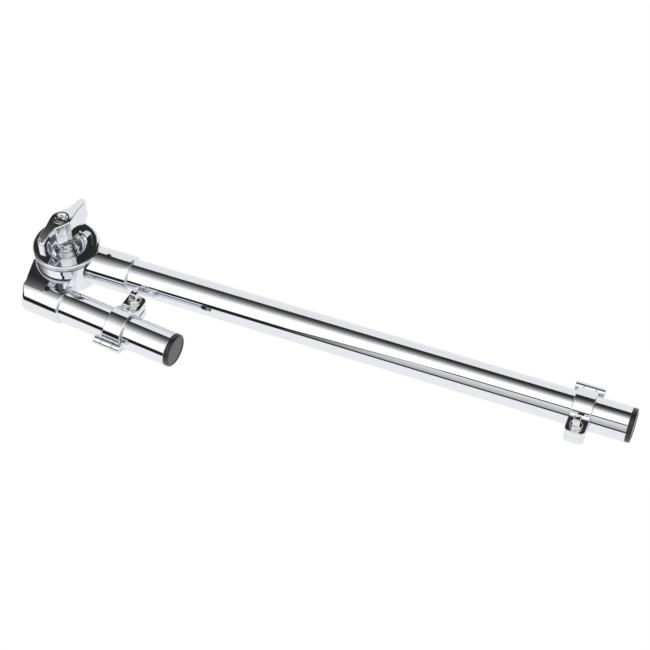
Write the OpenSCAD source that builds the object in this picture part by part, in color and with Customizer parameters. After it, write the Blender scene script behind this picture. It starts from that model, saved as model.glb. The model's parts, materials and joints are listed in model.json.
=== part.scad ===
// Hinged cymbal boom arm: two chromed steel tubes held in zinc castings that pivot on each other
// under a wing nut. Each tube carries a drum-key memory lock and ends in a black plastic cap.
// Units are millimetres. The row origin is on the short tube's axis, in the middle of the free
// stretch that another clamp grips. X runs out along the short tube, Z is up along the hinge axis.

/* [Tubes] */
// Outside diameter of both tubes
tube_d = 28.6; // [25.4:0.1:31.8]
// Wall thickness of both tubes
tube_wall = 1.5; // [1.0:0.1:2.5]
// Distance from the hinge axis to the long tube's free end
long_end = 484.5; // [300:0.5:600]
// Distance from the hinge axis to the short tube's free end, along X
short_end = 122.7; // [100:0.1:200]
// Angle of the long tube from the short one, as stored
rest_angle = 6.15; // [4:0.05:20]

/* [Castings] */
// Diameter of the lower casting's hinge disc
disc_d = 54; // [48:0.5:64]
// Diameter of the upper casting's hinge disc
upper_disc_d = 56.4; // [50:0.2:66]
// Outside diameter of the tube sleeves
sleeve_d = 32.6; // [31:0.1:38]
// Sideways distance from the hinge axis to the short tube's axis
short_offset = 39.5; // [36:0.1:50]
// Top of the upper disc above the long tube's axis
disc_top = 16.3; // [14:0.1:20]
// Plane where the two castings meet, above the long tube's axis
parting = 11; // [9:0.1:12]
// Flat top of the lower casting's neck, above the long tube's axis
neck_top = 6; // [3:0.1:8]
// Underside of the lower disc
disc_bottom = -17.5; // [-24:0.1:-12]
// Depth of the round dish in the upper disc
dish_depth = 6; // [4:0.1:7]
// Radius of the dish at the top
dish_r = 17.5; // [14:0.1:20]

/* [Wing nut] */
// Height of the top of the hub above the long tube's axis
hub_top = 48; // [42:0.5:56]
// Distance from the hinge axis to the end of a wing
wing_span_r = 30; // [24:0.5:36]
// Direction of the wings from X, as stored
wing_angle = 90; // [0:1:180]
// Diameter of the hinge bolt
bolt_d = 8; // [6:1:10]

/* [Memory locks] */
// Outside radius of the clamp band
band_r = 17.3; // [16.5:0.1:20]
// Width of the clamp band along the tube
band_w = 16.4; // [12:0.1:22]
// Centre of the short tube's lock, from the hinge axis along X
short_lock_x = 75; // [60:0.5:95]
// Centre of the long tube's lock, from the hinge axis along that tube
long_lock_s = 447.3; // [300:0.1:470]
// Distance from the tube axis to the key bolt
key_offset = 23.4; // [21:0.1:27]
// Distance from the tube axis to the band's hinge pin
pin_offset = 20.2; // [19:0.1:24]

/* [Hidden] */
tube_r = tube_d / 2;
bore_r = tube_r + 0.03;
sleeve_r = sleeve_d / 2;
disc_r = disc_d / 2;
upper_r = upper_disc_d / 2;
short_z = neck_top - sleeve_r;
washer_t = 1.6;
upper_z = parting + washer_t;
dish_z = disc_top - dish_depth;
spigot_r = 19.8;
spigot_z = dish_z - 1.6;
bolt_r = bolt_d / 2;
run = 0.05;
short_closed = -14;
short_sleeve_end = 22.7;
long_sleeve_end = 60.8;
short_tube_start = -8;
long_tube_start = 33;
screw_r = 2.5;
short_screw_x = 6.9;
long_screw_s = 39.2;
short_screw_tilt = 8;
groove_depth = 0.3;
groove_w = 1.1;
cap_t = 4.2;
cap_r = tube_r - 0.3;
cap_stem_r = tube_r - tube_wall - 0.1;
cap_round = 1.6;
slit_low = 1.3;
slit_high = 2.8;
pin_z = (slit_low + slit_high) / 2;
knuckle_r = 4.2;
knuckle_mid = 5;
knuckle_end = 12;
pin_r = 1.5;
key_r = 2.5;
ear_top = 10;
ear_bottom = -5.6;
band_in = tube_r + 0.04;
jaw_relief = 0.3;
row_x = short_end - (short_end - short_lock_x - band_w / 2 - 0.1) / 2;
$fn = 72;

// ---- frames -------------------------------------------------------------------------------

// Everything is drawn about the hinge axis and then moved to the row origin.
module hinge_frame() {
    translate([-row_x, short_offset, -short_z]) children();
}

// X runs along the long tube.
module long_frame() {
    hinge_frame() rotate([0, 0, rest_angle]) children();
}

// X runs along the short tube, with the origin at the foot of the hinge axis.
module short_frame() {
    hinge_frame() translate([0, -short_offset, short_z]) children();
}

// The short lock's ears point towards the long tube, and the long lock's away from Y.
module short_lock_frame() {
    short_frame() translate([short_lock_x, 0, 0]) children();
}

module long_lock_frame() {
    long_frame() translate([long_lock_s, 0, 0]) rotate([0, 0, 180]) children();
}

// ---- shared shapes ------------------------------------------------------------------------

// A solid of revolution about X, from a profile of [x, radius] points.
module turned_x(points) {
    rotate([90, 0, 90]) rotate_extrude($fn = 96) polygon([for (p = points) [p[1], p[0]]]);
}

// A round bar along X.
module bar_x(r, x0, x1) {
    translate([x0, 0, 0]) rotate([0, 90, 0]) cylinder(r = r, h = x1 - x0, $fn = 96);
}

// A round post along Z.
module post(r, z0, z1) {
    translate([0, 0, z0]) cylinder(r = r, h = z1 - z0);
}

// A convex quarter round in a profile, from angle a0 to angle a1.
function arc(cx, cy, r, a0, a1, n = 6) =
    [for (i = [0:n]) let (a = a0 + (a1 - a0) * i / n) [cx + r * cos(a), cy + r * sin(a)]];

// The hole for a cup-point set screw, cut from the bore out through the top of a sleeve.
module screw_hole() {
    post(screw_r + 0.03, tube_r - 1, sleeve_r + 1);
}

// A headless set screw that ends just under the sleeve's surface, with its hexagon socket.
module set_screw() {
    difference() {
        post(screw_r, tube_r + 0.05, sleeve_r - 0.35);
        post(1.25, tube_r + 0.9, sleeve_r + 1, $fn = 6);
    }
}

// A drawn steel tube along X with its inside end at x0 and a shallow line turned where the
// memory lock's outer edge sits, which marks off the free stretch that a clamp grips.
module tube(x0, x1, mark) {
    turned_x([[x0, tube_r - tube_wall], [x0, tube_r],
              [mark - groove_w, tube_r], [mark - groove_w, tube_r - groove_depth],
              [mark, tube_r - groove_depth], [mark, tube_r],
              [x1, tube_r], [x1, tube_r - tube_wall]]);
}

// A black plastic plug: a round-edged flange with a shallow dished face, and a ribbed stem
// pushed into the tube.
module cap(x0) {
    turned_x(concat(
        [[x0 - 12, 0], [x0 - 12, cap_stem_r - 1], [x0 - 11, cap_stem_r], [x0 - 8, cap_stem_r],
         [x0 - 7.4, cap_stem_r - 0.5], [x0 - 6, cap_stem_r - 0.5], [x0 - 5.4, cap_stem_r],
         [x0, cap_stem_r], [x0, cap_r]],
        arc(x0 + cap_t - cap_round, cap_r - cap_round, cap_round, 90, 0, 5),
        [[x0 + cap_t, cap_r - 2.4], [x0 + cap_t - 0.7, cap_r - 3.2], [x0 + cap_t - 0.7, 0]]));
}

// ---- castings -----------------------------------------------------------------------------

// Lower hinge disc, which stands proud of a flat-topped neck, and closed-ended sleeve, cast in one.
// A recess in the disc centres the upper casting, and a pocket in the underside stops the hinge
// bolt's square head from turning.
module short_casting() color([0.8, 0.81, 0.83]) difference() {
    union() {
        hinge_frame() rotate_extrude($fn = 120) polygon(concat(
            [[0, disc_bottom]], arc(disc_r - 2.5, disc_bottom + 2.5, 2.5, -90, 0, 4),
            arc(disc_r - 0.6, parting - 0.6, 0.6, 0, 90, 2), [[0, parting]]));
        hinge_frame() translate([0, 0, disc_bottom + 1]) linear_extrude(neck_top - disc_bottom - 1)
            polygon([[-20.6, -17.2], [-20.2, -21.5], [-17.2, -32], [-13.6, -short_offset + 1],
                     [-11, -short_offset], [20, -short_offset], [21.6, -short_offset + 1],
                     [19.5, -26], [18.6, -19.2], [0, 0]]);
        short_frame() turned_x(concat(
            [[short_closed, 0]],
            arc(short_closed + 5, sleeve_r - 5, 5, 180, 90, 6),
            arc(short_sleeve_end - 1.6, sleeve_r - 1.6, 1.6, 90, 0, 4),
            [[short_sleeve_end, 0]]));
    }
    short_frame() bar_x(bore_r, short_tube_start - 0.1, short_sleeve_end + 1);
    short_frame() translate([short_screw_x, 0, 0]) rotate([short_screw_tilt, 0, 0]) screw_hole();
    hinge_frame() post(bolt_r + 0.03, disc_bottom - 1, parting + 1);
    hinge_frame() post(spigot_r + 0.4, spigot_z - 0.2, parting + 1);
    hinge_frame() translate([0, 0, disc_bottom - 1])
        linear_extrude(5) square(13.1, center = true);
}

// Upper hinge disc with its dish, whose floor goes down into the lower casting's recess, and the
// long tube's sleeve. The sleeve grows out of the disc's wall, eased at its top edge, and below the
// parting plane it starts clear of the lower disc.
module long_casting() color([0.8, 0.81, 0.83]) difference() {
    union() {
        long_frame() rotate_extrude($fn = 120) polygon(concat(
            [[bolt_r + run, spigot_z], [spigot_r, spigot_z], [spigot_r, upper_z]],
            arc(upper_r - 1, upper_z + 1, 1, -90, 0, 4),
            arc(upper_r - 2.4, disc_top - 2.4, 2.4, 0, 90, 8),
            [[dish_r, disc_top], [dish_r - 1.2, disc_top - 1.4], [dish_r - 2.4, dish_z + 2.6],
             [dish_r - 4, dish_z + 0.9], [dish_r - 6, dish_z], [bolt_r + run, dish_z]]));
        long_frame() difference() {
            turned_x(concat(
                [[dish_r, 0], [dish_r, sleeve_r]],
                arc(long_sleeve_end - 1.6, sleeve_r - 1.6, 1.6, 90, 0, 4),
                [[long_sleeve_end, 0]]));
            post(disc_r + 0.7, -sleeve_r - 1, upper_z, $fn = 120);
            rotate_extrude($fn = 120) polygon([[0, upper_z], [upper_r - 2, upper_z],
                [upper_r - 2, sleeve_r - 2.4], [upper_r + 0.4, sleeve_r - 0.9],
                [upper_r + 2.2, sleeve_r + 0.1], [upper_r + 2.2, sleeve_r + 2], [0, sleeve_r + 2]]);
        }
    }
    long_frame() bar_x(bore_r, long_tube_start - 0.1, long_sleeve_end + 1);
    long_frame() translate([long_screw_s, 0, 0]) screw_hole();
}

// ---- tubes, caps and set screws -----------------------------------------------------------

module short_tube() color([0.86, 0.87, 0.89]) short_frame()
    tube(short_tube_start, short_end, short_lock_x + band_w / 2 + 0.1);

module long_tube() color([0.86, 0.87, 0.89]) long_frame()
    tube(long_tube_start, long_end, long_lock_s + band_w / 2 + 0.1);

module short_cap() color([0.06, 0.06, 0.07]) short_frame() cap(short_end);

module long_cap() color([0.06, 0.06, 0.07]) long_frame() cap(long_end);

module short_set_screw() color([0.12, 0.12, 0.13]) short_frame()
    translate([short_screw_x, 0, 0]) rotate([short_screw_tilt, 0, 0]) set_screw();

module long_set_screw() color([0.12, 0.12, 0.13]) long_frame()
    translate([long_screw_s, 0, 0]) set_screw();

// ---- hinge hardware -----------------------------------------------------------------------

// Steel bolt with a square head held in the lower casting's pocket.
module hinge_bolt() color([0.78, 0.78, 0.8]) hinge_frame() {
    translate([0, 0, disc_bottom - 1.5]) linear_extrude(5.4) square(13, center = true);
    rotate_extrude() polygon([[0, disc_bottom + 2], [bolt_r, disc_bottom + 2],
        [bolt_r, hub_top - 3], [bolt_r - 0.8, hub_top - 2.2], [0, hub_top - 2.2]]);
}

// Nylon ring that the two castings rub on, round the part of the upper one that sits in the recess.
module friction_washer() color([0.1, 0.1, 0.1]) hinge_frame() difference() {
    post(disc_r + 0.3, parting, upper_z, $fn = 120);
    post(spigot_r + 0.5, parting - 1, upper_z + 1);
}

// Flat steel washer on the floor of the dish.
module flat_washer() color([0.78, 0.78, 0.8]) hinge_frame() difference() {
    post(9, dish_z, dish_z + 1.5);
    post(bolt_r + run, dish_z - 1, dish_z + 3);
}

// Dished spring washer between the flat washer and the wing nut.
module cup_washer() color([0.74, 0.74, 0.76]) hinge_frame() rotate_extrude() polygon([
    [bolt_r + run, dish_z + 1.9], [bolt_r + run, dish_z + 2.9], [7.6, dish_z + 2.3],
    [7.6, dish_z + 1.5], [6.6, dish_z + 1.5]]);

// Outline of a wing in the plane of the axis: sloping down along the top, swept up underneath.
wing_outline = [[0, 22], [9, 22], [16, 23.4], [23, 25.4], [27, 27.6], [29.2, 31], [29.8, 35],
                [29.8, 40], [29.4, 42.4], [28, 44.1], [25, 45.2], [18, 46.5], [10, 47.4], [0, 47.9]];

// Plan of a wing: straight along one face, thin at the tip, with the other face curved back out
// to the far side of the hub, so that the two wings together look like a pinwheel.
wing_plan = [[0, -8.7], [6, -8], [12, -7.1], [26.5, -6.5], [29.2, -5], [30, -2.8], [29.6, -0.8],
             [28.2, 0.4], [20, 0.2], [15, 0.8], [12, 2], [8.4, 4.8], [5, 6.8], [1.4, 8.8], [0, 8.7]];

// One wing, as the outline cut by the plan.
module wing() {
    reach = wing_span_r / 30;
    intersection() {
        rotate([90, 0, 0]) linear_extrude(20, center = true)
            polygon([for (p = wing_outline) [p[0] * reach, p[1] + hub_top - 48]]);
        linear_extrude(hub_top) polygon([for (p = wing_plan) [p[0] * reach, p[1]]]);
    }
}

// Cast wing nut: flange, waisted stem, threaded hub and two wings.
module wing_nut() color([0.84, 0.84, 0.86]) hinge_frame() {
    nut_z = dish_z + 2.9;
    difference() {
        union() {
            rotate_extrude() polygon(concat(
                [[0, nut_z], [7.3, nut_z], [7.3, nut_z + 1.8], [6.6, nut_z + 2.4], [5.9, nut_z + 2.6],
                 [5.9, nut_z + 4], [5.3, nut_z + 4.6], [5.3, 21], [6.2, 23.5], [6.4, 27],
                 [6.4, hub_top - 1.2], [5.4, hub_top], [0, hub_top]]));
            rotate([0, 0, wing_angle]) wing();
            rotate([0, 0, wing_angle + 180]) wing();
        }
        post(bolt_r + run, nut_z - 1, hub_top + 1);
    }
}

// ---- memory locks -------------------------------------------------------------------------

// The band's ring, an ear with rounded corners between two heights, and nothing else.
module band_half(z0, z1, ear_z0, ear_z1, ear_y) {
    intersection() {
        bar_x(band_r, -band_w / 2, band_w / 2);
        translate([0, 0, (z0 + z1) / 2]) cube([band_w + 2, 50, z1 - z0], center = true);
    }
    translate([0, 0, ear_z0]) linear_extrude(ear_z1 - ear_z0) hull() {
        translate([0, 10]) square([band_w - 0.4, 8], center = true);
        for (sx = [-1, 1]) translate([sx * (band_w / 2 - 4.2), ear_y - 4])
            circle(r = 4, $fn = 32);
    }
}

// One knuckle of the band's hinge, with the web that joins it to the band.
module knuckle(x0, x1, z0, z1) {
    translate([0, -pin_offset, pin_z]) bar_x(knuckle_r, x0, x1);
    translate([x0, -pin_offset, z0]) cube([x1 - x0, pin_offset - tube_r - 1.7, z1 - z0]);
}

// Upper jaw: half band, smooth ear under the key bolt's head, and the middle knuckle. The band is
// cut back round the lower jaw's outer knuckles.
module upper_jaw() difference() {
    union() {
        difference() {
            band_half(slit_high, band_r + 1, slit_high, ear_top, 30);
            for (x0 = [-knuckle_end, knuckle_mid]) translate([0, -pin_offset, pin_z])
                bar_x(knuckle_r + 0.4, x0, x0 + knuckle_end - knuckle_mid);
        }
        knuckle(-knuckle_mid, knuckle_mid, slit_high, pin_z + knuckle_r);
    }
    bar_x(band_in, -band_w, band_w);
    translate([0, -pin_offset, pin_z]) bar_x(pin_r + run, -knuckle_mid - 1, knuckle_mid + 1);
    translate([0, key_offset, 0]) post(key_r + run, slit_low, ear_top + 1);
}

// Lower jaw: half band, threaded ear and the two outer knuckles. It is eased at the level of the
// tube's axis so that it can drop away when the key bolt is slackened.
module lower_jaw() difference() {
    union() {
        difference() {
            band_half(-band_r - 1, slit_low, ear_bottom, slit_low, 29);
            translate([0, -pin_offset, pin_z])
                bar_x(knuckle_r + 0.4, -knuckle_mid - 0.15, knuckle_mid + 0.15);
        }
        for (sx = [-1, 1]) {
            x0 = sx > 0 ? knuckle_mid + 0.15 : -knuckle_end;
            knuckle(x0, x0 + knuckle_end - knuckle_mid - 0.15, pin_z - knuckle_r, slit_low);
        }
    }
    bar_x(band_in, -band_w, band_w);
    cube([2 * band_w, 2 * tube_r + jaw_relief, 3], center = true);
    translate([0, -pin_offset, pin_z]) bar_x(pin_r + 0.02, -knuckle_end - 1, knuckle_end + 1);
    translate([0, key_offset, 0]) post(key_r + 0.3, ear_bottom - 1, slit_high);
}

// Straight steel pin through the knuckles.
module lock_pin() translate([0, -pin_offset, pin_z])
    bar_x(pin_r, -knuckle_end + 0.3, knuckle_end - 0.3);

// Thin washer under the key bolt's head.
module lock_washer() translate([0, key_offset, 0]) difference() {
    post(5.6, ear_top, ear_top + 0.9);
    post(key_r + run, ear_top - 1, ear_top + 2);
}

// Drum-key bolt: round flange, square head with a chamfered end, and shank.
module key_bolt() translate([0, key_offset, 0]) {
    post(key_r, ear_bottom - 1.5, ear_top + 1.5);
    translate([0, 0, ear_top + 0.9]) rotate_extrude() polygon([[0, 0], [5.1, 0], [5.1, 1.1],
        [4.4, 1.9], [3.4, 2.3], [0, 2.3]]);
    intersection() {
        translate([0, 0, ear_top + 2]) linear_extrude(9) square(5.8, center = true);
        rotate_extrude() polygon([[0, ear_top], [4.2, ear_top], [4.2, ear_top + 10],
            [3.1, ear_top + 11], [0, ear_top + 11]]);
    }
}

module short_lock_upper_jaw() color([0.82, 0.83, 0.85]) short_lock_frame() upper_jaw();
module short_lock_lower_jaw() color([0.82, 0.83, 0.85]) short_lock_frame() lower_jaw();
module short_lock_pin() color([0.7, 0.7, 0.72]) short_lock_frame() lock_pin();
module short_lock_washer() color([0.74, 0.74, 0.76]) short_lock_frame() lock_washer();
module short_lock_key_bolt() color([0.78, 0.78, 0.8]) short_lock_frame() key_bolt();
module long_lock_upper_jaw() color([0.82, 0.83, 0.85]) long_lock_frame() upper_jaw();
module long_lock_lower_jaw() color([0.82, 0.83, 0.85]) long_lock_frame() lower_jaw();
module long_lock_pin() color([0.7, 0.7, 0.72]) long_lock_frame() lock_pin();
module long_lock_washer() color([0.74, 0.74, 0.76]) long_lock_frame() lock_washer();
module long_lock_key_bolt() color([0.78, 0.78, 0.8]) long_lock_frame() key_bolt();

short_casting();
short_tube();
short_cap();
short_set_screw();
hinge_bolt();
friction_washer();
long_casting();
long_tube();
long_cap();
long_set_screw();
flat_washer();
cup_washer();
wing_nut();
short_lock_upper_jaw();
short_lock_lower_jaw();
short_lock_pin();
short_lock_washer();
short_lock_key_bolt();
long_lock_upper_jaw();
long_lock_lower_jaw();
long_lock_pin();
long_lock_washer();
long_lock_key_bolt();
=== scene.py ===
import json
import math

import bpy
import numpy as np
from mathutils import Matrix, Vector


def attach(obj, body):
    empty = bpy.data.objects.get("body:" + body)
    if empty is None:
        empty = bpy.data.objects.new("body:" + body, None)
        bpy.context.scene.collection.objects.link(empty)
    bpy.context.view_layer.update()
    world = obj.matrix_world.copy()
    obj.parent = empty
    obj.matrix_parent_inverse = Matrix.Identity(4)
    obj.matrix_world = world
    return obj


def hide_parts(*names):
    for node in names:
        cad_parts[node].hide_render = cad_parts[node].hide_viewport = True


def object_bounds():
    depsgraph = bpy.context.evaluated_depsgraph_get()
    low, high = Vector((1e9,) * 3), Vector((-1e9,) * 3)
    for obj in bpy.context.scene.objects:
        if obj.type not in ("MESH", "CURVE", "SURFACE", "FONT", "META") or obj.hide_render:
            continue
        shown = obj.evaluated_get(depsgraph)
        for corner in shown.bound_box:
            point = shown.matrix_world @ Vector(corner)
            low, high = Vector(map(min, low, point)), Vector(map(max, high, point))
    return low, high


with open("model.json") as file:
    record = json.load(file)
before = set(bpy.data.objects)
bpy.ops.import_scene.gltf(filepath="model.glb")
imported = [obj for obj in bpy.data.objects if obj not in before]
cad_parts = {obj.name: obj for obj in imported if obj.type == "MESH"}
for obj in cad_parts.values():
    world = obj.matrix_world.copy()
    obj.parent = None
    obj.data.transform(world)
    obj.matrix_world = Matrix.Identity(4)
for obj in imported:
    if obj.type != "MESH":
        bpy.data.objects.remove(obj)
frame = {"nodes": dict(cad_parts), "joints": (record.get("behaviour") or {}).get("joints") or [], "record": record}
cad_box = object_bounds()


# ---- Lower casting -------------------------------------------------------------------------------
# Zinc, die cast in one, buffed and chromed. A plain disc carries the hinge, a flat-topped neck leads off
# it, and a sleeve closed at its left end holds the short tube.
hinge_at = 1000 * np.array(next(j for j in frame["joints"] if j["name"] == "arm_swing")["pos_m"])
foot_at = np.array([hinge_at[0], 0, 0])
disc_r, disc_bottom = 27, -17.5
parting = 11
neck_top, neck_under = 6, -16.5
bolt_r = 4
run = 0.05
spigot_r, spigot_z = 19.8, 8.7
sleeve_r = 16.3
sleeve_y, sleeve_z = -hinge_at[1], -hinge_at[2]
short_closed, collar_end = -14, 22.7


class Wire:
    """A node socket to be used in Python expressions. Each operator adds the Math node that works it out,
    and node() adds a node of any other kind."""

    def __init__(self, tree, socket=None):
        self.tree, self.socket = tree, socket

    def node(self, kind, settings=None, inputs=None, output=0):
        """Adds a node, changes its settings, then fills its sockets, and returns one of its outputs."""
        made = self.tree.nodes.new(kind)
        for key, value in (settings or {}).items():
            setattr(made, key, value)
        for key, value in (inputs or {}).items():
            if isinstance(value, Wire):
                self.tree.links.new(value.socket, made.inputs[key])
            else:
                made.inputs[key].default_value = value
        return Wire(self.tree, made.outputs[output] if made.outputs else None)

    def math(self, operation, *values):
        return self.node("ShaderNodeMath", {"operation": operation}, dict(enumerate(values)))

    def __add__(self, other):
        return self.math("ADD", self, other)

    def __sub__(self, other):
        return self.math("SUBTRACT", self, other)

    def __rsub__(self, other):
        return self.math("SUBTRACT", other, self)

    def __mul__(self, other):
        return self.math("MULTIPLY", self, other)

    def __truediv__(self, other):
        return self.math("DIVIDE", self, other)

    __radd__, __rmul__ = __add__, __mul__

    def least(self, value):
        return self.math("MINIMUM", self, value)

    def most(self, value):
        return self.math("MAXIMUM", self, value)

    def ramp(self, low, high):
        """0 below low, 1 above high, and a straight slope between."""
        return ((self - low) / (high - low)).most(0.0).least(1.0)


def chrome(name, tint, haze, ripple, ripple_size):
    """Bright chrome over polished metal: the tint and the roughness drift a little from place to place, and a
    very low swell, left by casting and buffing, bends the reflections."""
    made = bpy.data.materials.new(name)
    made.use_nodes = True
    made.node_tree.nodes.clear()
    w = Wire(made.node_tree)
    here = w.node("ShaderNodeTexCoord", output="Object")
    cloud = w.node("ShaderNodeTexNoise", inputs={"Vector": here, "Scale": 55.0, "Detail": 3.0})
    fine = w.node("ShaderNodeTexNoise", inputs={"Vector": here, "Scale": 900.0, "Detail": 2.0})
    colour = w.node("ShaderNodeMix", {"data_type": "RGBA"}, {
        "Factor": cloud, 6: (*[c * 0.975 for c in tint], 1), 7: (*[min(c * 1.02, 1) for c in tint], 1)}, 2)
    swell = w.node("ShaderNodeTexNoise", inputs={"Vector": here, "Scale": 1 / ripple_size, "Detail": 1.0})
    bump = w.node("ShaderNodeBump", inputs={"Strength": 1.0, "Distance": ripple, "Height": swell})
    shader = w.node("ShaderNodeBsdfPrincipled", inputs={
        "Base Color": colour, "Metallic": 1.0, "Roughness": haze + haze * 0.8 * cloud + 0.015 * fine,
        "Normal": bump})
    w.node("ShaderNodeOutputMaterial", inputs={"Surface": shader})
    return made


cast_chrome = chrome("cast_chrome", (0.81, 0.815, 0.845), 0.02, 0.000012, 0.02)


def rounded(corners, loop=False, steps=8, hold=0.08):
    """An outline through corners given as (x, y, radius). Each corner becomes a circular arc that touches
    both sides, with one more point just before and after it to keep the sides flat."""
    parts = []
    for i, (x, y, radius) in enumerate(corners):
        here = np.array([x, y], float)
        if radius == 0 or (not loop and i in (0, len(corners) - 1)):
            parts.append(here[None])
            continue
        back = np.array(corners[i - 1][:2]) - here
        ahead = np.array(corners[(i + 1) % len(corners)][:2]) - here
        back, ahead = back / np.linalg.norm(back), ahead / np.linalg.norm(ahead)
        half = math.acos(np.clip(back @ ahead, -1, 1)) / 2
        reach = radius / math.tan(half)
        middle = here + (back + ahead) / np.linalg.norm(back + ahead) * radius / math.sin(half)
        start, stop = here + back * reach - middle, here + ahead * reach - middle
        first = math.atan2(start[1], start[0])
        sweep = (math.atan2(stop[1], stop[0]) - first + math.pi) % (2 * math.pi) - math.pi
        angle = first + sweep * np.linspace(0, 1, steps + 1)
        arc = middle + radius * np.stack([np.cos(angle), np.sin(angle)], -1)
        parts += [(here + back * (reach + hold))[None], arc, (here + ahead * (reach + hold))[None]]
    return np.concatenate(parts)


def turned(outline, axis="z", sides=120):
    """Rings for a turned shape: each (along, radius) point of the outline sweeps a circle about the axis."""
    along, radius = np.asarray(outline, float).T[:, :, None]
    angle = np.linspace(0, 2 * np.pi, sides, endpoint=False)
    flat = along + 0 * angle
    if axis == "x":
        return np.stack([flat, radius * np.cos(angle), radius * np.sin(angle)], -1)
    return np.stack([radius * np.cos(angle), radius * np.sin(angle), flat], -1)


def carried(outline, low, high, low_round, high_round, core):
    """Rings for a closed (y, z) outline carried along X, from the wall x = low(y, z) to x = high(y, z). Near
    each wall the outline moves inwards along a quarter circle of the given radius, and it then shrinks
    towards the core point to cover the wall."""
    side = np.roll(outline, -1, 0) - np.roll(outline, 1, 0)
    side /= np.linalg.norm(side, axis=1)[:, None]
    area = np.sum(outline[:, 0] * np.roll(outline[:, 1], -1) - np.roll(outline[:, 0], -1) * outline[:, 1])
    inward = np.stack([-side[:, 1], side[:, 0]], -1) * np.sign(area)

    def end(wall, radius, sign):
        radius = np.broadcast_to(radius, len(outline))[:, None]
        turn = np.linspace(0, np.pi / 2, 9)[:, None, None]
        edge = outline + inward * radius * (1 - np.sin(turn))
        face = core + (outline + inward * radius - core) * np.linspace(0.1, 0.98, 7)[:, None, None]
        yz = np.concatenate([face, edge])
        push = np.concatenate([np.zeros((7, len(outline))), (radius * (1 - np.cos(turn)))[..., 0]])
        return np.concatenate([(wall(yz[..., 0], yz[..., 1]) + sign * push)[..., None], yz], -1)

    return np.concatenate([end(low, low_round, 1), end(high, high_round, -1)[::-1]])


def skin(name, rings, material, body, slot, stands_for=(), at=hinge_at, turn=0.0, loop=False, crease=32):
    """Puts a surface into the scene from an (m, n, 3) grid of rings. Each ring joins the next, the last point
    of a ring joins its first, and either the last ring joins the first or a point closes each end. The
    faces are turned outwards by the sign of the enclosed volume, and the grid is turned about Z and moved."""
    rings = np.asarray(rings, float)
    m, n = rings.shape[:2]
    cos, sin = math.cos(turn), math.sin(turn)
    spin = np.array([[cos, sin, 0], [-sin, cos, 0], [0, 0, 1]])
    points = rings.reshape(-1, 3)
    i, j = np.meshgrid(np.arange(m if loop else m - 1), np.arange(n), indexing="ij")
    k, far = (j + 1) % n, (i + 1) % m
    quads = np.stack([i * n + j, far * n + j, far * n + k, i * n + k], -1).reshape(-1, 4)
    tips = np.zeros((0, 3), int)
    if not loop:
        j = np.arange(n)
        k = (j + 1) % n
        points = np.concatenate([points, rings[0].mean(0)[None], rings[-1].mean(0)[None]])
        first = np.stack([np.full(n, m * n), j, k], -1)
        last = np.stack([np.full(n, m * n + 1), (m - 1) * n + k, (m - 1) * n + j], -1)
        tips = np.concatenate([first, last])
    a, b, c = (points[f] for f in np.concatenate([quads[:, :3], quads[:, [0, 2, 3]], tips]).T)
    if np.einsum("ij,ij->i", a, np.cross(b, c)).sum() < 0:
        quads, tips = quads[:, ::-1], tips[:, ::-1]
    mesh = bpy.data.meshes.new(name)
    mesh.from_pydata((0.001 * (points @ spin + at)).tolist(), [], quads.tolist() + tips.tolist())
    mesh.shade_smooth()
    mesh.set_sharp_from_angle(angle=math.radians(crease))
    mesh.materials.append(material)
    made = bpy.data.objects.new(name, mesh)
    bpy.context.scene.collection.objects.link(made)
    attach(made, body)
    if stands_for:
        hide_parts(*stands_for)
    return made


recess_r, recess_z = spigot_r + 0.4, spigot_z - 0.2
skin("lower_disc", turned(rounded([
    (disc_bottom, 1, 0), (disc_bottom, disc_r, 2.5), (parting, disc_r, 0.5), (parting, recess_r, 0.2),
    (recess_z, recess_r, 0), (recess_z, 1, 0)])),
    cast_chrome, "short_arm", "cast_chrome", ["short_casting"])

inner_y = -8
last_angle = 2 * math.pi + math.asin((neck_under - sleeve_z) / sleeve_r)
around = np.linspace(math.pi / 2 + 0.39, last_angle, 96)
crease_y = sleeve_y + sleeve_r * math.cos(around[0])
ease_y = -35.45
ease = (neck_top - sleeve_z - sleeve_r * math.sin(around[0])) / (ease_y - crease_y) ** 2
neck_flat = np.concatenate([np.linspace(inner_y, ease_y, 12)[:-1], np.linspace(ease_y, crease_y + 0.1, 10)])
under_flat = np.linspace(sleeve_y + sleeve_r * math.cos(last_angle), inner_y, 8)[1:]
neck_outline = np.concatenate([
    np.stack([neck_flat, neck_top - ease * np.clip(ease_y - neck_flat, 0, None) ** 2], -1),
    np.stack([sleeve_y + sleeve_r * np.cos(around), sleeve_z + sleeve_r * np.sin(around)], -1),
    np.stack([under_flat, 0 * under_flat + neck_under], -1),
    [[inner_y, -8], [inner_y, 0]]])
bend = np.concatenate([0 * neck_flat, (around - around[0]) / 0.45, 0 * under_flat, [0, 0]])
closed_round = 0.7 + 4.3 * np.clip(bend, 0, 1)


def neck_left(y, z):
    """The neck's left wall, x against y, which follows the disc and then slants in to the sleeve's end."""
    return np.interp(y, [-56, -41, -32, -21.5, -17.2, inner_y],
                     [short_closed, -14.4, -17.2, -20.2, -20.6, -20.6])


def neck_right(y, z):
    """The neck's right wall, from the sleeve's open end back to the disc."""
    return np.interp(y, [-39.7, -39.3, -26, -19.2, inner_y], [collar_end - 1.6, 21.6, 19.5, 18.6, 18.4])


skin("neck_and_sleeve", carried(neck_outline, neck_left, neck_right, closed_round, 0.4,
                                np.array([-32.0, -8.0])),
     cast_chrome, "short_arm", "cast_chrome")

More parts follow.
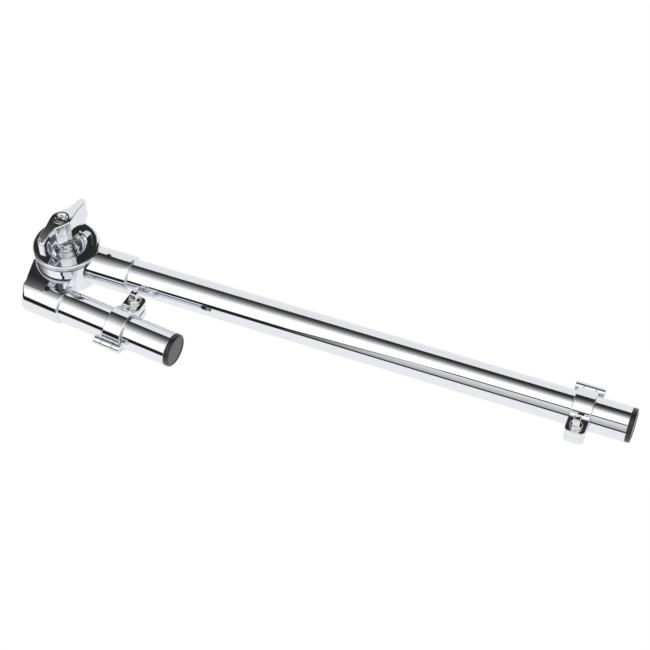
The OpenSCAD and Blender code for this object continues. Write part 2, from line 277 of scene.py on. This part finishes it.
collar_start = 5
collar_r = sleeve_r - 0.02
tube_bore = 14.33
skin("short_collar", turned(rounded([
    (collar_start, 15, 0), (collar_start, collar_r, 0), (collar_end, collar_r, 1.6),
    (collar_end, tube_bore, 0), (collar_start, tube_bore, 0)]), "x"),
    cast_chrome, "short_arm", "cast_chrome", at=foot_at, loop=True)


# ---- Upper casting -------------------------------------------------------------------------------
# Zinc, die cast and chromed like the lower one. Its disc is dished to take the washers and the foot of the
# wing nut, with the dish's floor let into the lower disc, and its sleeve meets the wall in a rounded edge.
long_axis = next(m for m in frame["record"]["mounts"] if m["name"] == "long_pin")["axis"]
long_turn = math.atan2(long_axis[1], long_axis[0])
upper_z = parting + 1.6
upper_r = 28.2
disc_top = 16.3
dish_z = disc_top - 6
washer_top = dish_z + 1.5
long_collar_end = 60.8

dish = [(dish_z, bolt_r + run, 0), (dish_z, 10.4, 1.5), (dish_z + 0.9, 13.4, 2), (dish_z + 2.7, 14.5, 0.3),
        (dish_z + 2.9, 15.1, 0.3), (disc_top - 0.9, 16.7, 1.5), (disc_top, 17.5, 0.25)]
skin("upper_disc", turned(rounded(
    dish + [(disc_top, upper_r, 2.4), (upper_z, upper_r, 1), (upper_z, spigot_r, 0), (spigot_z, spigot_r, 0),
            (spigot_z, bolt_r + run, 0)])),
    cast_chrome, "long_arm", "cast_chrome", ["long_casting"], turn=long_turn, loop=True)

around = np.linspace(0, 2 * np.pi, 144, endpoint=False)
ring = sleeve_r * np.stack([np.cos(around), np.sin(around)], -1)


def saddle(y, z):
    """The sleeve stops on a cylinder about the hinge: inside the upper disc's wall, and clear of the lower
    disc."""
    reach = np.where(z > upper_z, upper_r - 1, disc_r + 0.7)
    return np.sqrt(reach ** 2 - y ** 2)


skin("long_sleeve", carried(ring, saddle, lambda y, z: long_collar_end + 0 * y,
                            np.where(ring[:, 1] > upper_z, 2.2, 0.5), 1.6, np.array([0.0, 0.0])),
     cast_chrome, "long_arm", "cast_chrome", turn=long_turn)


# ---- Tubes ---------------------------------------------------------------------------------------
# Steel tube, drawn, polished and chromed, pushed into its sleeve and held there by a set screw. A shallow
# line is turned in it where the outer edge of the memory lock sits.
tube_r = 14.3
tube_wall = 1.5
short_end = 122.7
long_end = 484.5
band_w = 16.4
short_lock_x = 75
long_lock_s = 447.3

tube_chrome = chrome("tube_chrome", (0.82, 0.825, 0.855), 0.015, 0.000002, 0.03)


def tube(name, start, end, lock, node, body, at, turn):
    """A hollow bar along X, with the line turned in it just beyond the lock."""
    mark = lock + band_w / 2 + 0.1
    inside = tube_r - tube_wall
    outline = rounded([
        (start, inside, 0), (start, tube_r, 0.4), (mark - 1.1, tube_r, 0.15), (mark - 1.1, tube_r - 0.3, 0),
        (mark, tube_r - 0.3, 0), (mark, tube_r, 0.15), (end, tube_r, 0.3), (end, inside, 0)])
    skin(name, turned(outline, "x", 144), tube_chrome, body, "tube_chrome", [node], at, turn, loop=True)


tube("short_chrome_tube", -8, short_end, short_lock_x, "short_tube", "short_arm", foot_at, 0.0)
tube("long_chrome_tube", 33, long_end, long_lock_s, "long_tube", "long_arm", hinge_at, long_turn)


# ---- End caps ------------------------------------------------------------------------------------
# Black polythene, moulded in one: a ribbed stem pushed into the tube, and a round-edged flange whose face
# is slightly hollow inside a narrow rim.
def moulded(name, colour, roughness, grain):
    """Satin plastic or blacking: fine grain in the surface, and a roughness that drifts with it."""
    made = bpy.data.materials.new(name)
    made.use_nodes = True
    made.node_tree.nodes.clear()
    w = Wire(made.node_tree)
    here = w.node("ShaderNodeTexCoord", output="Object")
    fine = w.node("ShaderNodeTexNoise", inputs={"Vector": here, "Scale": 2600.0, "Detail": 4.0})
    broad = w.node("ShaderNodeTexNoise", inputs={"Vector": here, "Scale": 120.0, "Detail": 2.0})
    shade = w.node("ShaderNodeMix", {"data_type": "RGBA"}, {
        "Factor": broad, 6: (*[c * 0.8 for c in colour], 1), 7: (*[c * 1.25 for c in colour], 1)}, 2)
    bump = w.node("ShaderNodeBump", inputs={"Strength": 1.0, "Distance": grain, "Height": fine})
    shader = w.node("ShaderNodeBsdfPrincipled", inputs={
        "Base Color": shade, "Roughness": roughness + 0.12 * broad, "Normal": bump})
    w.node("ShaderNodeOutputMaterial", inputs={"Surface": shader})
    return made


black_plastic = moulded("black_plastic", (0.022, 0.022, 0.027), 0.2, 0.00001)
cap_r = tube_r - 0.3
cap_t = 4.2
cap_hollow = 0.45


def cap(name, start, node, body, at, turn):
    """A ribbed stem inside the tube and a flange from its end, turned about X."""
    stem = tube_r - tube_wall - 0.1
    outline = rounded([
        (start - 12, 2, 0), (start - 12, stem, 1), (start - 8, stem, 0), (start - 7.4, stem - 0.5, 0),
        (start - 6, stem - 0.5, 0), (start - 5.4, stem, 0), (start, stem, 0), (start, cap_r, 0.2),
        (start + cap_t, cap_r, 1.7), (start + cap_t, cap_r - 2.5, 0.2),
        (start + cap_t - cap_hollow, cap_r - 3, 0.3), (start + cap_t - cap_hollow, 2, 0)])
    skin(name, turned(outline, "x", 144), black_plastic, body, "black_plastic", [node], at, turn)


cap("short_end_cap", short_end, "short_cap", "short_arm", foot_at, 0.0)
cap("long_end_cap", long_end, "long_cap", "long_arm", hinge_at, long_turn)


# ---- Set screws ----------------------------------------------------------------------------------
# Blackened hardened steel, screwed down on the tube until their tops lie about level with the sleeve. Each
# has a hexagon socket in its top, only 0.1 mm deep. Their near-black colour is partly the steel's own and
# partly painted shade, standing in for the dark of the hole each screw sits in and of a deeper socket.
# Near-black: the blackened steel's own colour, plus painted shade for the hole round each screw and its shallow
# socket.
black_steel = moulded("black_steel", (0.02, 0.02, 0.022), 0.28, 0.00001)
screw_r = 2.5


def set_screw(name, x, tilt, node, body, at, turn):
    """Rings from the foot up over the chamfered rim and down into the socket, whose rings are hexagons: a
    side lies at apothem / cos(angle from the middle of the side). The stack is then leaned about X."""
    angle = np.linspace(0, 2 * np.pi, 72, endpoint=False)
    hexagon = 1.3 / np.cos((angle + np.pi / 6) % (np.pi / 3) - np.pi / 6)
    circle = 1 + 0 * angle
    top = sleeve_r + 0.12
    radius = np.stack([0.3 * circle, screw_r * circle, screw_r * circle, (screw_r - 0.35) * circle, hexagon,
                       hexagon, 0.1 * hexagon])
    height = np.array([top - 2, top - 2, top - 0.25, top, top, top - 0.1, top - 0.1])[:, None] * circle
    y, z = radius * np.sin(angle), height
    rings = np.stack([x + radius * np.cos(angle), y * np.cos(tilt) - z * np.sin(tilt),
                      y * np.sin(tilt) + z * np.cos(tilt)], -1)
    skin(name, rings, black_steel, body, "black_steel", [node], at, turn)


set_screw("short_grub_screw", 6.9, math.radians(8), "short_set_screw", "short_arm", foot_at, 0.0)
set_screw("long_grub_screw", 39.2, 0.0, "long_set_screw", "long_arm", hinge_at, long_turn)


# ---- Hinge bolt and friction washer --------------------------------------------------------------
# A plated steel bolt, its square head held from turning in the lower casting's pocket, comes up through both
# discs and ends just below the top of the wing nut. A nylon ring lies between the castings.
plated_steel = chrome("plated_steel", (0.78, 0.77, 0.77), 0.05, 0.000004, 0.008)
hub_top = 48


def squared(half, power=7.0, sides=72):
    """A square ring with rounded corners: radius = half / (|cos|^p + |sin|^p)^(1/p)."""
    angle = np.linspace(0, 2 * np.pi, sides, endpoint=False)
    radius = half / (np.abs(np.cos(angle)) ** power + np.abs(np.sin(angle)) ** power) ** (1 / power)
    return np.stack([radius * np.cos(angle), radius * np.sin(angle)], -1)


def stacked(levels):
    """Rings at rising heights, from (height, outline) pairs whose outlines have equal numbers of points."""
    return np.stack([np.concatenate([ring, np.full((len(ring), 1), z)], -1) for z, ring in levels])


def circle(radius, sides=72):
    """A ring of points at one radius."""
    angle = np.linspace(0, 2 * np.pi, sides, endpoint=False)
    return radius * np.stack([np.cos(angle), np.sin(angle)], -1)


head_low, head_high = disc_bottom - 1.5, disc_bottom + 3.9
bolt_top = hub_top - 2.2
skin("hinge_bolt_steel", stacked([
    (head_low, squared(2)), (head_low, squared(5.9)), (head_low + 0.15, squared(6.3)),
    (head_low + 0.5, squared(6.5)), (head_high, squared(6.5)), (head_high, circle(bolt_r + 0.4)),
    (head_high + 0.1, circle(bolt_r)), (bolt_top - 1, circle(bolt_r)), (bolt_top - 0.3, circle(bolt_r - 0.7)),
    (bolt_top, circle(bolt_r - 1.4)), (bolt_top, circle(0.6))]),
    plated_steel, "short_arm", "plated_steel", ["hinge_bolt"])

nylon = moulded("nylon", (0.05, 0.05, 0.05), 0.5, 0.00002)
frame["nodes"]["friction_washer"].data.materials.clear()
frame["nodes"]["friction_washer"].data.materials.append(nylon)


# ---- Washers -------------------------------------------------------------------------------------
# A flat steel washer lies on the floor of the dish, and a dished spring washer stands on it under the nut.
washer_r = 9
skin("flat_steel_washer", turned(rounded([
    (dish_z, bolt_r + run, 0.2), (dish_z, washer_r, 0.3), (washer_top, washer_r, 0.3),
    (washer_top, bolt_r + run, 0.2)], loop=True)),
    plated_steel, "long_arm", "plated_steel", ["flat_washer"], loop=True)
skin("spring_washer", turned(rounded([
    (washer_top + 0.4, bolt_r + run, 0.1), (washer_top, 6.6, 0.1), (washer_top, 7.6, 0.2),
    (washer_top + 0.8, 7.6, 0.2), (washer_top + 1.35, bolt_r + run, 0.1)], loop=True, hold=0.03)),
    plated_steel, "cup_washer", "plated_steel", ["cup_washer"], loop=True)


# ---- Wing nut ------------------------------------------------------------------------------------
# Zinc, cast in one and chromed, with a thread through it: a round foot, a waisted stem, and two wings set to
# opposite sides of the hub so that from above they look like a pinwheel.
nut_z = dish_z + 2.9
half_plan = rounded([
    (8.8, 1, 0), (8.2, 6, 3), (7.2, 12, 6), (6.6, 26.4, 3.4), (3.6, 30.2, 2.4), (-0.6, 29.2, 1.6),
    (-0.4, 20, 12), (-1.8, 12.4, 6), (-6.7, 5.4, 3), (-8.8, 1, 0)], steps=10, hold=0.3)
plan = np.concatenate([half_plan, -half_plan])
step = np.r_[0, np.cumsum(np.linalg.norm(np.diff(np.concatenate([plan, plan[:1]]), axis=0), axis=1))]
even = np.linspace(0, step[-1], 480, endpoint=False)
plan = np.stack([np.interp(even, step, np.r_[plan[:, i], plan[0, i]]) for i in (0, 1)], -1)


def nut_top(xy):
    """The top is level at the hub and falls away along each wing as the square of the distance."""
    return hub_top - 0.1 - 0.0042 * xy[..., 1] ** 2


def nut_under(xy):
    """The underside rises from the stem towards the tips."""
    along = np.abs(xy[..., 1])
    return 21.6 + 5.6 * np.clip(along / 27, 0, 1.1) ** 1.6


side = np.roll(plan, -1, 0) - np.roll(plan, 1, 0)
inward = np.stack([-side[:, 1], side[:, 0]], -1) / np.linalg.norm(side, axis=1)[:, None]
inward *= np.sign(np.sum(plan[:, 0] * np.roll(plan[:, 1], -1) - np.roll(plan[:, 0], -1) * plan[:, 1]))
tip = np.clip((np.abs(plan[:, 1]) - 24) / 5, 0, 1)[:, None]
hollow = (plan[:, 0] * plan[:, 1] < 12)[:, None]
top_round = np.where(hollow, 1.2, 0.7) * (1 - tip) + 2.4 * tip
under_round = 1.2 * (1 - tip) + 3.2 * tip
angle = np.arctan2(plan[:, 1], plan[:, 0])
unit = np.stack([np.cos(angle), np.sin(angle)], -1)


def level(radius, height):
    """A level circle whose points have the same bearings as the plan's."""
    ring = radius * unit
    return np.concatenate([ring, np.full((len(ring), 1), height)], -1)


# The bore, the chamfer at its mouth and the level top of the hub.
nut = [level(bolt_r + run, nut_z), level(bolt_r + run, hub_top - 1.35),
       level(bolt_r + 2 * run, hub_top - 1.3), level(5.15, hub_top - 0.15), level(5.3, hub_top),
       level(5.4, hub_top), level(6.5, hub_top), level(6.6, hub_top)]
# The top of the wings, the rounded edge over and under, and the underside in to the stem.
blend_r, stem_r = 6.9, 5.3
edge = plan + inward * top_round
for share in (0, 0.12, 0.3, 0.5, 0.7, 0.88, 0.98):
    ring = blend_r * unit + (edge - blend_r * unit) * share
    nut.append(np.concatenate([ring, nut_top(ring)[:, None]], -1))
for turn in np.linspace(0, np.pi / 2, 8):
    ring = plan + inward * top_round * (1 - math.sin(turn))
    drop = top_round[:, 0] * (1 - math.cos(turn))
    nut.append(np.concatenate([ring, (nut_top(plan) - drop)[:, None]], -1))
for turn in np.linspace(np.pi / 2, 0, 8):
    ring = plan + inward * under_round * (1 - math.sin(turn))
    rise = under_round[:, 0] * (1 - math.cos(turn))
    nut.append(np.concatenate([ring, (nut_under(plan) + rise)[:, None]], -1))
edge = plan + inward * under_round
for share in (0.15, 0.4, 0.6, 0.8, 0.92):
    ring = edge + (stem_r * unit - edge) * share
    nut.append(np.concatenate([ring, (nut_under(ring) - 1.2 * share ** 3)[:, None]], -1))
# The waisted stem, its two steps and the foot.
foot_r = 7.3
for height, radius in rounded([
        (20.4, 5.0, 0), (18.1, 4.7, 2), (17.4, 5.6, 0.4), (16.1, 5.9, 0.4), (15.6, 6.9, 0.4),
        (14.9, foot_r, 0.4), (nut_z, foot_r, 0.3), (nut_z, 5, 0)], steps=4, hold=0.02):
    nut.append(level(radius, height))
skin("chrome_wing_nut", np.array(nut), cast_chrome, "wing_nut", "cast_chrome", ["wing_nut"], loop=True,
     crease=40)


# ---- Memory locks --------------------------------------------------------------------------------
# Each lock is a split band of cast and chromed zinc in two jaws. They hinge on a steel pin on one side of the
# tube, and a square-headed key bolt draws their ears together on the other.
lock_chrome = chrome("lock_chrome", (0.81, 0.815, 0.84), 0.02, 0.000008, 0.012)
band_r = 17.3
band_in = tube_r + 0.06
slit_low, slit_high = 1.3, 2.8
pin_y, pin_z = -20.2, 2.05
pin_bore = 1.55
knuckle_r = 4.2
knuckle_mid, knuckle_end = 5, 12
key_y = 23.4
ear_top, ear_bottom = 10, -5.6


def strap(inner, outer, half_width, edge=0.7, hold=0.1):
    """Rings for a strip carried along a path: at each station the section is a rectangle with rounded
    corners, from the inner line to the outer line in thickness, and half_width to each side in X."""
    thick = np.linalg.norm(outer - inner, axis=1)[:, None]
    corner = np.repeat(np.arange(4), 7)
    turn = (corner + np.tile([0, 0, 0.25, 0.5, 0.75, 1, 1], 4)) * np.pi / 2
    lead = np.tile([-hold, 0, 0, 0, 0, 0, hold], 4)
    right = np.where((corner == 0) | (corner == 3), 1, -1)
    x = right * (half_width[:, None] - edge) + edge * np.cos(turn) - lead * np.sin(turn)
    up = np.where(corner < 2, thick - edge, edge) + edge * np.sin(turn) + lead * np.cos(turn)
    share = (up / thick)[..., None]
    yz = inner[:, None] * (1 - share) + outer[:, None] * share
    return np.concatenate([x[..., None], yz], -1)


def jaw(slit, ear_face, ear_tip, fillet):
    """A jaw for the upper side: the band from the knuckles over the tube, a hollow fillet that touches both
    the band's circle and the ear's face, and the ear out to its tip, whose corners are round in plan."""
    middle = math.sqrt((band_r + fillet) ** 2 - (ear_face + fillet) ** 2)
    leave = math.atan2(ear_face + fillet, middle)
    over = np.linspace(math.pi - math.asin(slit / band_r), leave, 60)
    blend = np.linspace(leave - math.pi, -math.pi / 2, 16)[1:]
    ear_y = np.concatenate([np.linspace(middle, ear_tip - 4.1, 6)[1:],
                            ear_tip - 4 + 4 * np.sin(np.linspace(0.05, np.pi / 2, 14))])
    bevel = np.clip(ear_y - ear_tip + 0.8, 0, 0.8)
    outer = np.concatenate([
        band_r * np.stack([np.cos(over), np.sin(over)], -1),
        [middle, ear_face + fillet] + fillet * np.stack([np.cos(blend), np.sin(blend)], -1),
        np.stack([ear_y, ear_face - 0.8 + np.sqrt(np.clip(0.64 - bevel ** 2, 0, None))], -1)])
    foot = math.asin(slit / band_in)
    descend = np.linspace(leave, foot, 16)[1:]
    start = band_in * math.cos(foot)
    inner = np.concatenate([
        band_in * np.stack([np.cos(over), np.sin(over)], -1),
        band_in * np.stack([np.cos(descend), np.sin(descend)], -1),
        np.stack([start + (ear_y - middle) * (ear_tip - start) / (ear_tip - middle),
                  np.full(len(ear_y), slit)], -1)])
    reach = np.clip(outer[:, 0] - ear_tip + 4, 0, 4)
    return strap(inner, outer, band_w / 2 - 4 + np.sqrt(16 - reach ** 2))


def knuckle(start, end):
    """Rings for one barrel of the band's hinge, bored for the pin."""
    rings = turned(rounded([
        (start, pin_bore, 0.1), (start, knuckle_r, 0.5), (end, knuckle_r, 0.5), (end, pin_bore, 0.1)],
        loop=True), "x", 64)
    return rings + [0, pin_y, pin_z]


def lock(side, at, turn):
    """The seven pieces of one lock, about the tube's axis, and the material of its pin."""
    upper, lower, key = f"{side}_lock", f"{side}_lock_jaw", f"{side}_lock_key"
    here = dict(at=at, turn=turn)
    skin(f"{side}_lock_band_top", jaw(slit_high, ear_top, 30, 6), lock_chrome, upper, "lock_chrome",
         [f"{side}_lock_upper_jaw"], **here)
    skin(f"{side}_lock_knuckle_middle", knuckle(-knuckle_mid, knuckle_mid), lock_chrome, upper, "lock_chrome",
         loop=True, **here)
    skin(f"{side}_lock_band_bottom", jaw(-slit_low, -ear_bottom, 29, 4) * [1, 1, -1], lock_chrome, lower,
         "lock_chrome", [f"{side}_lock_lower_jaw"], **here)
    inner_end = knuckle_mid + 0.15
    for name, start, end in (("left", -knuckle_end, -inner_end), ("right", inner_end, knuckle_end)):
        skin(f"{side}_lock_knuckle_{name}", knuckle(start, end), lock_chrome, lower, "lock_chrome", loop=True,
             **here)
    seat = ear_top + 0.9
    at_key = [0, key_y, 0]
    skin(f"{side}_lock_flat_washer", at_key + turned(rounded([
        (ear_top, 2.55, 0.1), (ear_top, 5.6, 0.2), (seat, 5.6, 0.3), (seat, 2.55, 0.1)], loop=True)),
        plated_steel, upper, "plated_steel", [f"{side}_lock_washer"], loop=True, **here)
    skin(f"{side}_lock_square_bolt", at_key + stacked([
        (ear_bottom - 1.5, circle(0.5)), (ear_bottom - 1.5, circle(2.1)), (ear_bottom - 1.1, circle(2.5)),
        (seat, circle(2.5)), (seat, circle(4.8)), (seat + 0.1, circle(5.05)), (seat + 1, circle(5.1)),
        (seat + 1.3, circle(5)), (seat + 1.9, circle(4.4)), (seat + 2.2, circle(3.8)),
        (seat + 2.3, squared(2.95)), (seat + 2.5, squared(2.9)), (seat + 9, squared(2.9)),
        (seat + 9.4, squared(2.75)),
        (seat + 10, squared(2.2)), (seat + 10.1, squared(2)), (seat + 10.1, squared(0.3))]),
        plated_steel, key, "plated_steel", [f"{side}_lock_key_bolt"], **here)
    pin = frame["nodes"][f"{side}_lock_pin"].data.materials
    pin.clear()
    pin.append(plated_steel)


lock("short", foot_at + [short_lock_x, 0, 0], 0.0)
lock("long", hinge_at + long_lock_s * np.array(long_axis), long_turn + math.pi)


# ---- Floor and studio ----------------------------------------------------------------------------
# A plain white floor that glows evenly, so that nothing casts a shadow on it, in a studio that is all soft
# light. The room is worked out from the direction a ray leaves in, so that the chrome has it to mirror: a
# pale wall behind, a large dark sheet overhead that fades to a white soft box in front, and a dark edge.
floor_z = cad_box[0][2] - 0.0005
corners = [(x, y, floor_z) for x, y in ((-20, -20), (20, -20), (20, 20), (-20, 20))]
sheet = bpy.data.meshes.new("floor")
sheet.from_pydata(corners, [], [(0, 1, 2, 3)])
floor = bpy.data.objects.new("floor", sheet)
bpy.context.scene.collection.objects.link(floor)
white = bpy.data.materials.new("white_floor")
white.use_nodes = True
white.node_tree.nodes.clear()
w = Wire(white.node_tree)
glow = w.node("ShaderNodeEmission", inputs={"Color": (1, 1, 1, 1), "Strength": 1.0})
w.node("ShaderNodeOutputMaterial", inputs={"Surface": glow})
sheet.materials.append(white)
floor.visible_glossy = False

world = bpy.data.worlds.new("studio")
bpy.context.scene.world = world
world.use_nodes = True
world.node_tree.nodes.clear()
w = Wire(world.node_tree)
ray = w.node("ShaderNodeTexCoord", output="Generated")
x = w.node("ShaderNodeSeparateXYZ", inputs={"Vector": ray})
y, z = (Wire(w.tree, x.socket.node.outputs[i]) for i in (1, 2))

# Overhead: dark at its far edge and lighter towards the front, faster on the right.
height = z.most(0.05)
across, along = x / height, y / height
far_edge = (0.72 + 0.9 * (across + 0.43).most(0.0) + 0.8 * (across + 0.1).most(0.0)
            + 0.8 * (-0.5 - across).most(0.0))
depth = (0.5 - y).most(0.0)
sheet_light = 0.03 + depth * depth * (1.2 * x.ramp(-0.95, -0.45) + 6.6 * (x + 0.28).most(0.0).least(0.25))
sheet_light = sheet_light.least(1.25)
beyond = (along - far_edge).ramp(-0.03, 0.03)
aside = across.math("ABSOLUTE", across).ramp(3.5, 5.0)
open_wall = beyond.most(aside)
above = sheet_light * (1 - open_wall) + 0.93 * open_wall

# In front, below the soft box: a dark edge, and on the right a grey panel between two dark edges.
rise = z.math("ARCSINE", z) * (180 / math.pi)
bearing = x / (0 - y).most(0.05)
right = bearing.ramp(-0.15, -0.1)
box_edge = 12 + 30 * right + 38 * (bearing + 0.1).most(0.0)
soft_box = (rise - box_edge).ramp(-1.0, 1.0)
panel = right * (box_edge - 7 - rise).ramp(-1.0, 1.0) * rise.ramp(-1.0, 1.0)
floor_seen = (-10 - rise).ramp(-1.0, 1.0)
front = above * soft_box + (0.45 + 0.011 * rise) * panel + 0.97 * floor_seen + 0.02
facing = (0 - y).ramp(0.1, 0.3)
sides = above * z.ramp(0.0, 0.05) + 0.95 * (1 - z.ramp(0.0, 0.05))
light = front * facing + sides * (1 - facing)
shine = w.node("ShaderNodeBackground", inputs={"Color": (1, 1, 1, 1), "Strength": light})
w.node("ShaderNodeOutputWorld", inputs={"Surface": shine})

scene = bpy.context.scene
scene.view_settings.view_transform = "Standard"
lens = bpy.data.cameras.new("camera")
lens.lens = 97.8
lens.sensor_width = 36
lens.clip_start, lens.clip_end = 0.05, 60
camera = bpy.data.objects.new("camera", lens)
camera.location = (0.5395, -0.7235, 1.1294)
camera.rotation_euler = [math.radians(a) for a in (38.74, 0.27, 27.31)]
scene.collection.objects.link(camera)
scene.camera = camera
